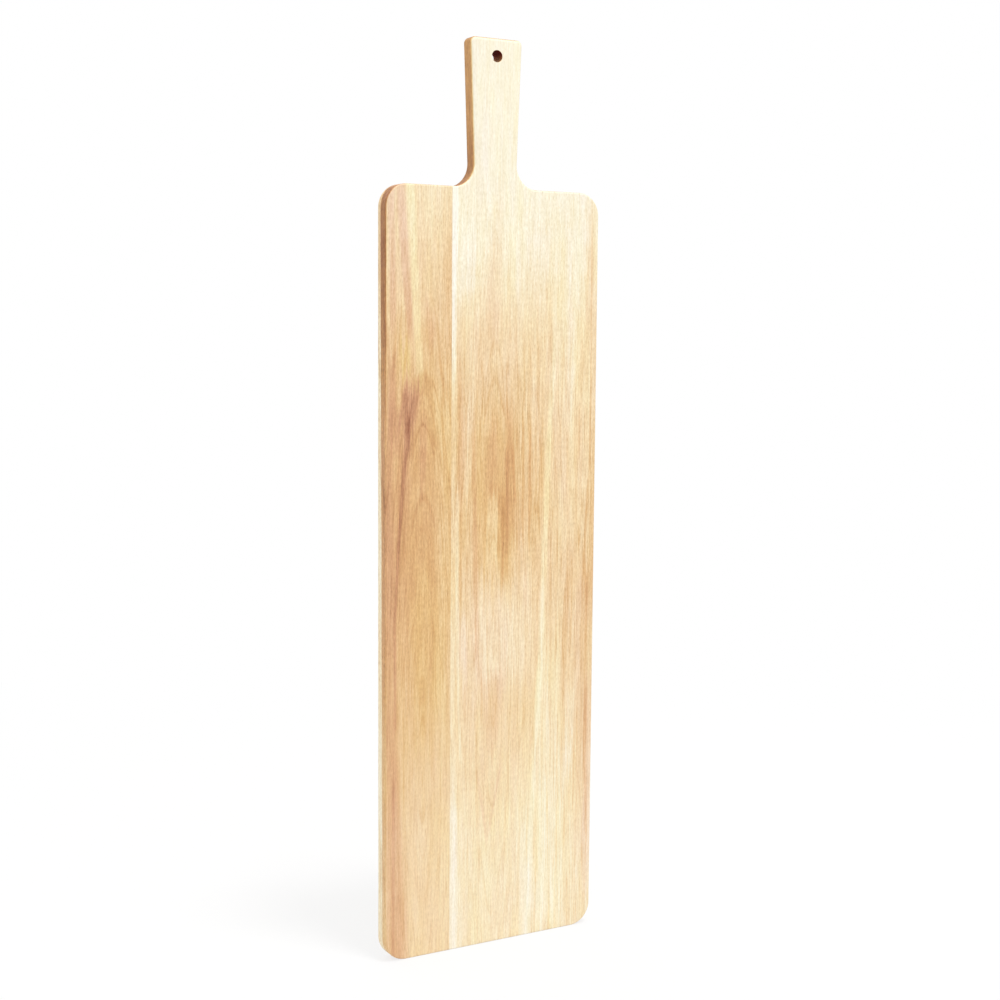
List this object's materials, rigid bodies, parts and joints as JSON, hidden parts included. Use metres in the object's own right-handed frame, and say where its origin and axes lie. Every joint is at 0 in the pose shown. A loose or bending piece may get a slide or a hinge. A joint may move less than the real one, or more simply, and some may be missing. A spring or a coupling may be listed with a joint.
{
  "type": "paddle charcuterie board",
  "caption": "Long flat wooden serving board with rounded corners, a slightly flared paddle handle with a hanging hole, and a glued edge joint between its staves.",
  "frame": {"origin": "centre of the bottom end of the blade, on the surface that the board stands on", "axes": "+Z along the length towards the handle, +Y through the thickness towards the back, +X across the board to the right seen from the front"},
  "size_m": [0.2, 0.015, 0.76],
  "materials": {
    "narrow_stave_wood": "oiled acacia, golden brown heartwood with a paler strip of sapwood on its edge",
    "wood_glue": "hardened wood glue, sanded flush with the wood",
    "handle_stave_wood": "oiled acacia, cream sapwood with brown heartwood figure in the middle"
  },
  "bodies": {
    "root": {"narrow_stave": "narrow_stave_wood", "glue_line": "wood_glue", "handle_stave": "handle_stave_wood"}
  },
  "joints": []
}
